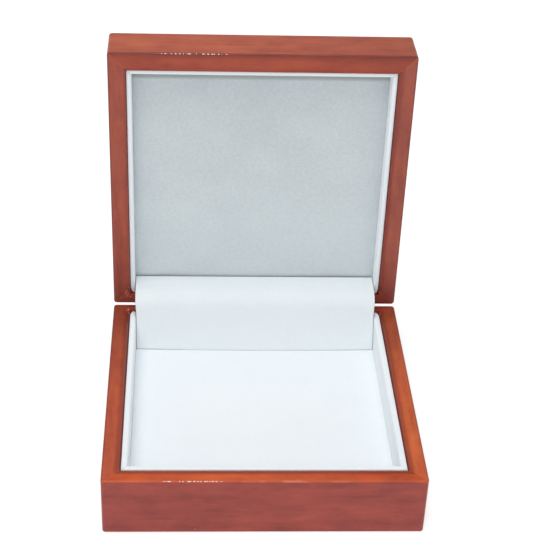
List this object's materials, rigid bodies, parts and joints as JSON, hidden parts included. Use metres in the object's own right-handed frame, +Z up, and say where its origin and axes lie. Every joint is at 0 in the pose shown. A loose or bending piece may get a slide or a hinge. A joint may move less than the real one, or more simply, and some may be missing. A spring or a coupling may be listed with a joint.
{
  "type": "hinged presentation box",
  "caption": "Square wooden presentation box, its hinged lid standing open at a right angle, with padded white linings, a padded floor and lid, and a soft strip over the hinges.",
  "frame": {"origin": "centre of the felt underside, on the surface that the box stands on", "axes": "+X to the box's right seen from the front, +Y to the hinged rear, +Z up; the lid stands open at 90 degrees"},
  "size_m": [0.19, 0.2126, 0.2221],
  "materials": {
    "mahogany": "reddish mahogany stain under a satin lacquer",
    "plywood": "bare",
    "card_board": "bare grey board",
    "white_lining": "matt white padded lining",
    "grey_lining": "light grey textured lining cloth",
    "brown_felt": "felt",
    "brass": "plain"
  },
  "bodies": {
    "base": {"base_front_wall": "mahogany", "base_right_wall": "mahogany", "base_back_wall": "mahogany", "base_left_wall": "mahogany", "floor_pad": "white_lining", "base_left_lining": "white_lining", "base_right_lining": "white_lining", "base_front_lining": "white_lining", "hinge_cover": "white_lining", "base_bottom_panel": "plywood", "floor_card": "card_board", "base_felt": "brown_felt", "left_hinge_lower_leaf": "brass", "left_hinge_pin": "brass", "left_hinge_lower_screw_1": "brass", "left_hinge_lower_screw_2": "brass", "right_hinge_lower_leaf": "brass", "right_hinge_pin": "brass", "right_hinge_lower_screw_1": "brass", "right_hinge_lower_screw_2": "brass"},
    "lid": {"lid_front_wall": "mahogany", "lid_right_wall": "mahogany", "lid_back_wall": "mahogany", "lid_left_wall": "mahogany", "lid_top_panel": "mahogany", "lid_pad": "grey_lining", "lid_left_lining": "white_lining", "lid_right_lining": "white_lining", "lid_front_lining": "white_lining", "lid_card": "card_board", "left_hinge_upper_leaf": "brass", "left_hinge_upper_screw_1": "brass", "left_hinge_upper_screw_2": "brass", "right_hinge_upper_leaf": "brass", "right_hinge_upper_screw_1": "brass", "right_hinge_upper_screw_2": "brass"}
  },
  "joints": [
    {"name": "lid_hinge", "type": "hinge", "parent": "base", "child": "lid", "pos_m": [0, 0.09145, 0.03965], "axis": [1, 0, 0], "range_deg": [0, 90], "deforming": ["hinge_cover"]}
  ]
}
